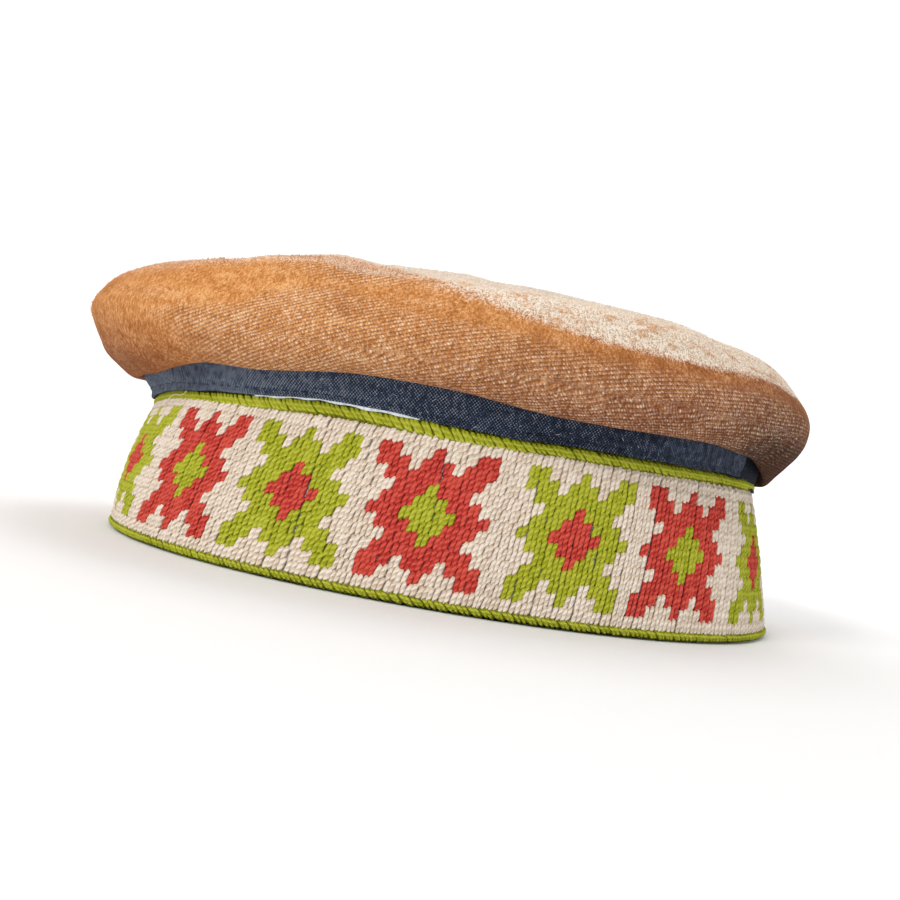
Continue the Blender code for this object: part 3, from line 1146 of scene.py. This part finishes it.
def hair_rows():
    """Where each hair stands, its way out, and its size, for the pale top and for the brown side."""
    random = np.random.default_rng(PILE_SEED)
    mesh = crown.data
    places = read_values(mesh.vertices, "co")
    starts = read_values(mesh.polygons, "loop_start", np.int32, 1)
    corners = read_values(mesh.loops, "vertex_index", np.int32, 1)
    normals = read_values(mesh.polygons, "normal", np.float32)
    areas = read_values(mesh.polygons, "area", np.float32, 1)
    pale, _, painted_shade = read_values(mesh.attributes["painted_velvet_light"].data, "vector", np.float32).T
    first = corners[starts]
    heart = np.array((MIDDLE.x, MIDDLE.y, EQUATOR))
    faces_out = np.einsum("ij,ij->i", normals, places[first] - heart) > 0
    chance = areas * faces_out * (places[first, 2] > HAIRS_ABOVE)
    # No hairs in the painted shade, except on the pale top.
    chance *= (pale[first] > 0.5) | (painted_shade[first] < 0.6)
    rows = {"pale": [], "brown": []}
    for face in random.choice(len(starts), PILE_HAIRS, p=chance / chance.sum()):
        a, b, c = places[corners[starts[face]:starts[face] + 3]]
        share = random.dirichlet((1, 1, 1))
        spot = a * share[0] + b * share[1] + c * share[2]
        way = normals[face] + random.normal(0, HAIR_TOUSLE, 3) + HAIR_LEAN
        beside = np.cross(way, random.normal(0, 1, 3))
        size = (random.uniform(0.5, 1.2), 1, 1)
        rows["pale" if pale[first[face]] > 0.5 else "brown"].append((spot, way, beside, size))
    return rows


def fibre_material(name, colour):
    """Loose fibres: matt, and a little paler and darker from place to place."""
    material, tree, shader = new_material(name, colour, 0.85, 0.25)
    uneven = stretched_noise(tree, object_place(tree), (800, 800, 800))
    dark = tuple(0.80 * c for c in colour)
    light = tuple(min(1.08 * c, 1.0) for c in colour)
    paint(tree, shader, spread(tree, uneven, 0.38, 0.62), dark, light)
    bumped(tree, shader, uneven, 0.05 * MM)
    return material


def make_pile():
    """A fine cone of three sides for each hair."""
    # The pale hairs take the cream of the top's painted sheen.
    colours = {"pale": VELVET_CREAM, "brown": VELVET_ORANGE}
    for kind, rows in hair_rows().items():
        sizes = {"Length": HAIR_LONG, "Width": HAIR_WIDE}
        thread = Thread(f"{kind}_hair", sizes, fibre_material(f"{kind}_pile", colours[kind]))
        cone = thread.node("GeometryNodeMeshCone", {"fill_type": "NONE"}, Vertices=3)
        cone.inputs["Radius Top"].default_value = 0.0
        thread.tree.links.new(thread.size("Width"), cone.inputs["Radius Bottom"])
        thread.tree.links.new(thread.size("Length"), cone.inputs["Depth"])
        laid = thread.node("GeometryNodeTransform", None, Geometry=cone.outputs[0])
        laid.inputs["Rotation"].default_value = (0, math.pi / 2, 0)
        thread.sew(laid.outputs[0], PILE_SEED)
        thread.piece(f"{kind}_hairs", points_mesh(f"{kind}_hair_points", rows), "crown")


make_pile()

# The strip: navy cotton wound once round the join of crown and band and sewn down with one line of
# dark running stitches. It starts under itself, and its free end laps over at the right.

strip_low, strip_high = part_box("binding")
STRIP_WALL = 1.0 * MM
STRIP_PITCH = 0.95 * MM
STRIP_START = math.radians(50)
STRIP_END = math.radians(416)
STRIP_STEPS = 640
STRIP_RADIUS = 95 * MM
STRIP_CORNER = 3.0 * MM
LOWER_CORNER = 1.6 * MM
LAP_LIFT = 1.9 * MM
UNDER_LAP = 0.9 * MM
STRIP_SLACK = 0.45 * MM
SEW_DENT = 0.25 * MM
HEM_ROLL = 0.75 * MM
FLARE_LEFT = band_low.x + LEAN_LEFT - strip_low.x
FLARE_RIGHT = strip_high.x - band_high.x + LEAN_RIGHT
SEW_LINE = 0.17

# The strip's lower edge is a loose wavy line, lower at the left where the cap has slumped: turns in
# degrees and heights in millimetres.
FOOT_COLUMNS = ("turn", "height")
STRIP_FOOT = (
    (-150, 44.3),
    (-110, 40.6),
    (-92, 39.6),
    (-76, 40.2),
    (-64, 42.1),
    (-56, 43.3),
    (-50, 43.9),
    (-43, 44.5),
    (-36, 45.0),
    (-28, 45.7),
    (-22, 46.7),
    (-15, 46.5),
    (-9, 46.1),
    (-5, 45.7),
    (0, 45.2),
    (5, 45.1),
    (8, 44.7),
    (13, 45.4),
    (28, 45.6),
    (40, 45.7),
    (50, 46.0),
    (57, 45.6),
    (62, 44.2),
    (67, 42.9),
    (76, 42.3),
    (92, 42.3),
    (150, 44.8),
)


def strip_foot(turn):
    """The height of the strip's lower edge, with its fine waves."""
    waves = 0.08 * np.sin(23 * turn) + 0.06 * np.sin(41 * turn + 2)
    return (from_table(STRIP_FOOT, FOOT_COLUMNS, "height", np.degrees(turn), 360) + waves) * MM


def strip_points(turn, share, out=0.0):
    """Points of the strip's face: share runs from its lower edge to its top."""
    turn = np.asarray(turn, float)
    share = np.asarray(share, float)
    points, outs = oval_frame(turn)
    lap = LAP_LIFT * smooth_step(math.radians(364), math.radians(400), turn)
    lap = lap - UNDER_LAP * (1 - smooth_step(math.radians(58), math.radians(74), turn))
    flare = (FLARE_LEFT + FLARE_RIGHT) / 2 + (FLARE_RIGHT - FLARE_LEFT) / 2 * np.sin(turn)
    slumped = (0.9 + 2.6 * smooth_step(0, 0.5, share)) * MM * near(turn, -88, 32)
    slack = STRIP_SLACK * np.sin(math.pi * share) - SEW_DENT * np.exp(-(((share - SEW_LINE) / 0.06) ** 2))
    hem = HEM_ROLL * np.exp(-((share / 0.09) ** 2)) + slumped
    sway = 0.20 * MM * np.sin(13 * turn + 4 * share) + 0.12 * MM * np.sin(31 * turn - 5 * share)
    reach = -lean_at(turn) + flare * share + slack + hem + sway * share + lap + out
    flat = points + outs * reach[..., None]
    foot = strip_foot(turn)
    up = foot + (strip_high.z - foot) * share
    return np.stack((flat[..., 0] + MIDDLE.x, flat[..., 1] + MIDDLE.y, up), -1)


def make_strip():
    """The strip's outer and inner face, with its two rounded ends closed, and painted shade on its
    under-lap past the free end.
    """
    turns = np.linspace(STRIP_START, STRIP_END, STRIP_STEPS)
    left = (STRIP_END - turns) * STRIP_RADIUS
    short = np.clip(1 - left / STRIP_CORNER, 0, 1)
    corner = 1 - np.sqrt(np.clip(1 - short**2, 0, 1))
    rise = strip_high.z - strip_low.z
    shares = np.concatenate((np.linspace(0, 0.3, 10), np.linspace(0.36, 1, 12)))
    low_cut = corner * LOWER_CORNER / rise
    high_cut = corner * STRIP_CORNER / rise
    rows = [strip_points(turns, low_cut + (1 - low_cut - high_cut) * share) for share in shares]
    for share in shares[::-1]:
        rows.append(strip_points(turns, low_cut + (1 - low_cut - high_cut) * share, -STRIP_WALL))
    rows = np.array(rows)
    count, steps = rows.shape[:2]
    faces = ring_faces(count, steps, closed=False)
    for k in (0, steps - 1):
        for i in range(count // 2 - 1):
            a, b = i * steps + k, (i + 1) * steps + k
            c, d = (count - 2 - i) * steps + k, (count - 1 - i) * steps + k
            faces.append((a, b, c, d))
    strip = add_piece("strip", rows.reshape(-1, 3), faces, cotton_material("strip_cotton", 0.8))
    # Painted shade on the under-layer past the free end, which lies beneath the crown's overhang.
    painted_shade_under_lap = 1 - smooth_step(math.radians(70), math.radians(100), np.tile(turns, count))
    set_weave(strip, STRIP_PITCH, painted_shade_under_lap)
    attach(strip, "root")
    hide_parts("binding")


make_strip()

# The sewing that holds the strip down: one line of running stitches near its lower edge, in dark
# navy cotton thread.

SEW_STITCHES = 186
SEW_LONG = 1.9 * MM
SEW_WIDE = 0.34 * MM
SEW_DIVE = 0.3 * MM
SEW_SEED = 21
SEW_BLUE = (0.010, 0.014, 0.028)


def sewing_material():
    material, tree, shader = new_material("sewing_thread", SEW_BLUE, 0.7, 0.2)
    paint(tree, shader, spread(tree, attribute(tree, "tone", "Fac"), 0.6, 1.0), SEW_BLUE, NAVY)
    return material


def straight_thread(name, length, width, dive, material, points=5, sides=5):
    """A short straight thread whose ends go down into the cloth."""
    thread = Thread(name, {"Length": length, "Width": width, "Dive": dive}, material)
    half = thread.times(thread.size("Length"), 0.5)
    line = thread.node("GeometryNodeCurvePrimitiveLine")
    for socket, sign in (("Start", -1.0), ("End", 1.0)):
        end = thread.node("ShaderNodeCombineXYZ", None, X=thread.times(half, sign))
        thread.tree.links.new(end.outputs[0], line.inputs[socket])
    fine = thread.node("GeometryNodeResampleCurve", None, Curve=line.outputs[0], Count=points)
    along = thread.node("GeometryNodeSplineParameter").outputs["Factor"]
    middle = thread.maths("SUBTRACT", thread.times(along, 2.0), 1.0)
    away = thread.maths("POWER", thread.maths("ABSOLUTE", middle), 2.0)
    offset = thread.node("ShaderNodeCombineXYZ", None, Z=thread.times(away, -1.0, thread.size("Dive")))
    bent = thread.node("GeometryNodeSetPosition", None, Geometry=fine.outputs[0])
    thread.tree.links.new(offset.outputs[0], bent.inputs["Offset"])
    thread.sew(thread.tube(bent.outputs[0], 1.0, thread.times(thread.size("Width"), 0.5), sides), WHIP_SEED)
    return thread


def make_sewing():
    random = np.random.default_rng(SEW_SEED)
    pitch = 2 * math.pi / SEW_STITCHES
    half = pitch * 0.3
    rows = []
    for step in range(SEW_STITCHES):
        turn = STRIP_END - 0.02 - pitch * (step + random.normal(0, 0.08))
        shares = SEW_LINE + random.normal(0, 0.012, 2)
        ends = strip_points(np.array((turn - half, turn + half)), shares, 0.1 * MM)
        size = (1 + random.normal(0, 0.12), 1, 1)
        rows.append((ends.mean(0), ends[1] - ends[0], (*oval_frame(turn)[1], 0.1), size))
    thread = straight_thread("running_stitch", SEW_LONG, SEW_WIDE, SEW_DIVE, sewing_material())
    thread.piece("running_stitches", points_mesh("sewing_points", rows), "binding")


make_sewing()

# A sliver of the canvas's white selvedge, which shows between the strip and the upper edge where the
# strip is slack, left of the middle of the front.

SELVEDGE_FROM = math.radians(-34)
SELVEDGE_TO = math.radians(-6)
SELVEDGE_WHITE = (0.84, 0.90, 0.98)


def make_selvedge():
    turns = np.linspace(SELVEDGE_FROM, SELVEDGE_TO, 120)
    showing = (0.35 + 0.15 * np.sin(turns * 70) + 0.35 * near(turns, -13, 6)) * MM
    points, outs = oval_frame(turns)
    rows = []
    for lift, out in ((0, 0.5), (1, 0.5), (1, -0.6), (0, -0.6)):
        flat = points + outs * (-lean_at(turns) + out * MM)[:, None]
        up = strip_foot(turns) + 0.6 * MM * lift - showing * (1 - lift)
        rows.append(np.stack((flat[:, 0] + MIDDLE.x, flat[:, 1] + MIDDLE.y, up), -1))
    rows = np.array(rows)
    count, steps = rows.shape[:2]
    faces = ring_faces(count, steps, closed=False)
    faces.append(tuple(i * steps for i in range(count)))
    faces.append(tuple(i * steps + steps - 1 for i in range(count)))
    material = fibre_material("selvedge_cotton", SELVEDGE_WHITE)
    selvedge = add_piece("selvedge", rows.reshape(-1, 3), faces, material)
    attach(selvedge, "root")


make_selvedge()

# Lint that clings to the strip's dark cotton, and one long pale fibre of the wool that has worked
# loose and lies over the upper edge at the left.

LINT_COUNT = 90
LINT_LONG = 1.3 * MM
LINT_WIDE = 0.13 * MM
LINT_DIVE = 0.1 * MM
LINT_SEED = 33
LINT_WHITE = (0.62, 0.62, 0.60)
FIBRE_WIDE = 0.16 * MM

# The loose fibre's way: turns in degrees, and its height over the band's top and how far out it
# lies, in millimetres.
FIBRE_COLUMNS = ("turn", "above", "out")
LOOSE_FIBRE = (
    (-61.0, -2.2, 1.3),
    (-59.5, -1.0, 1.6),
    (-58.0, 0.4, 1.7),
    (-56.2, 1.5, 1.8),
    (-54.6, 1.8, 1.7),
    (-53.0, 1.4, 1.7),
    (-51.6, 1.9, 1.8),
    (-50.6, 2.9, 1.9),
)


def make_lint():
    random = np.random.default_rng(LINT_SEED)
    rows = []
    for _ in range(LINT_COUNT):
        turn = random.uniform(STRIP_START + 0.6, STRIP_END - 0.1)
        share = random.uniform(0.02, 0.7)
        middle = strip_points(turn, share, 0.12 * MM)
        beside = strip_points(turn + 0.004, share, 0.12 * MM) - middle
        way = beside / np.linalg.norm(beside) + np.array((0, 0, random.normal(0, 0.8)))
        rows.append((middle, way, (*oval_frame(turn)[1], 0), (random.uniform(0.25, 1.2), 1, 1)))
    fluff = fibre_material("lint_fluff", LINT_WHITE)
    thread = straight_thread("lint_fibre", LINT_LONG, LINT_WIDE, LINT_DIVE, fluff, 3, 4)
    thread.piece("lint", points_mesh("lint_points", rows), "binding")


def make_loose_fibre():
    curve = bpy.data.curves.new("loose_fibre", "CURVE")
    curve.dimensions = "3D"
    curve.bevel_depth = FIBRE_WIDE / 2
    curve.bevel_resolution = 1
    line = curve.splines.new("NURBS")
    line.points.add(len(LOOSE_FIBRE) - 1)
    line.use_endpoint_u = True
    line.order_u = 3
    for point, row in zip(line.points, LOOSE_FIBRE):
        spot = dict(zip(FIBRE_COLUMNS, row))
        turn = math.radians(spot["turn"])
        place = band_points(turn, BAND_TOP, spot["out"] * MM)
        place[2] += spot["above"] * MM - along_edge(UPPER_EDGE, "below", turn)
        point.co = (*place, 1)
    holder = add_object("loose_fibre_line", curve)
    graph = bpy.context.evaluated_depsgraph_get()
    mesh = bpy.data.meshes.new_from_object(holder.evaluated_get(graph))
    bpy.data.objects.remove(holder)
    mesh.materials.clear()
    mesh.materials.append(fibre_material("loose_fibre_wool", WOOL["natural"][1]))
    fibre = add_object("loose_fibre", mesh)
    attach(fibre, "root")


make_lint()
make_loose_fibre()

# The studio: a white floor that sweeps up into a round wall, a broad soft light high on the left,
# a weaker one on the right, and the camera, held low and tipped to the left.

FLOOR_WHITE = (0.89, 0.89, 0.89)
SWEEP_FLAT = 1.1
SWEEP_ROUND = 0.9
SWEEP_SIDES = 96
WALL_RISE = 2.6


def make_sweep():
    """The floor: flat in the middle, then a quarter turn up into the wall."""
    outline = [(0.0, 0.0), (0.5, 0.0), (SWEEP_FLAT, 0.0)]
    for step in range(1, 13):
        angle = math.radians(90 * step / 12)
        outline.append((SWEEP_FLAT + SWEEP_ROUND * math.sin(angle), SWEEP_ROUND * (1 - math.cos(angle))))
    outline.append((SWEEP_FLAT + SWEEP_ROUND, WALL_RISE))
    points = [(0, 0, 0)]
    for radius, height in outline[1:]:
        for side in range(SWEEP_SIDES):
            angle = 2 * math.pi * side / SWEEP_SIDES
            points.append((radius * math.cos(angle), radius * math.sin(angle), height))
    faces = [(0, 1 + side, 1 + (side + 1) % SWEEP_SIDES) for side in range(SWEEP_SIDES)]
    for ring in range(len(outline) - 2):
        here, after = 1 + ring * SWEEP_SIDES, 1 + (ring + 1) * SWEEP_SIDES
        for side in range(SWEEP_SIDES):
            other = (side + 1) % SWEEP_SIDES
            faces.append((here + side, after + side, after + other, here + other))
    mesh = bpy.data.meshes.new("sweep")
    mesh.from_pydata(points, [], faces)
    mesh.shade_smooth()
    mesh.materials.append(new_material("sweep_paper", FLOOR_WHITE, 0.95)[0])
    add_object("sweep", mesh)


def soft_light(name, place, aim, size, watts, colour):
    """A round soft light at a place, turned to what it aims at."""
    lamp = bpy.data.lights.new(name, "AREA")
    lamp.shape = "DISK"
    lamp.size = size
    lamp.energy = watts
    lamp.color = colour
    holder = add_object(name, lamp)
    holder.location = place
    holder.rotation_euler = (Vector(aim) - holder.location).to_track_quat("-Z", "Y").to_euler()


make_sweep()
CAP_HEART = (MIDDLE.x, MIDDLE.y, 0.05)
soft_light("key_light", (-0.70, -0.95, 0.95), CAP_HEART, 0.45, 8.8, (1.0, 0.98, 0.95))
soft_light("top_light", (0.25, 0.35, 1.5), CAP_HEART, 0.6, 3.0, (1.0, 0.99, 0.97))
soft_light("wall_light", (0.0, 0.9, 1.5), (0.0, 2.0, 0.45), 1.4, 14, (1.0, 1.0, 1.0))

world = bpy.data.worlds.new("studio")
world.use_nodes = True
world.node_tree.nodes["Background"].inputs["Color"].default_value = (1, 1, 1, 1)
world.node_tree.nodes["Background"].inputs["Strength"].default_value = 0.71
bpy.context.scene.world = world
bpy.context.scene.view_settings.view_transform = "Standard"

# The camera's place, in metres from the middle of the band's oval, and its small turn and tip.
CAMERA_PLACE = (0.0023, -0.3276, 0.03765)
PHOTO_WIDE = 900
FOCAL_PIXELS = 1008.5
AIM_RIGHT = 14.4
AIM_UP = 6.7
CAMERA_ROLL = math.radians(9.72)
SENSOR = 36

camera = bpy.data.cameras.new("camera")
camera.sensor_width = SENSOR
camera.lens = FOCAL_PIXELS / PHOTO_WIDE * SENSOR
camera.clip_start = 0.01
camera_holder = add_object("camera", camera)
camera_holder.matrix_world = (
    Matrix.Translation((MIDDLE.x + CAMERA_PLACE[0], MIDDLE.y + CAMERA_PLACE[1], CAMERA_PLACE[2]))
    @ Matrix.Rotation(math.atan(AIM_RIGHT / FOCAL_PIXELS), 4, "Z")
    @ Matrix.Rotation(math.pi / 2 + math.atan(AIM_UP / FOCAL_PIXELS), 4, "X")
    @ Matrix.Rotation(CAMERA_ROLL, 4, "Z")
)
bpy.context.scene.camera = camera_holder
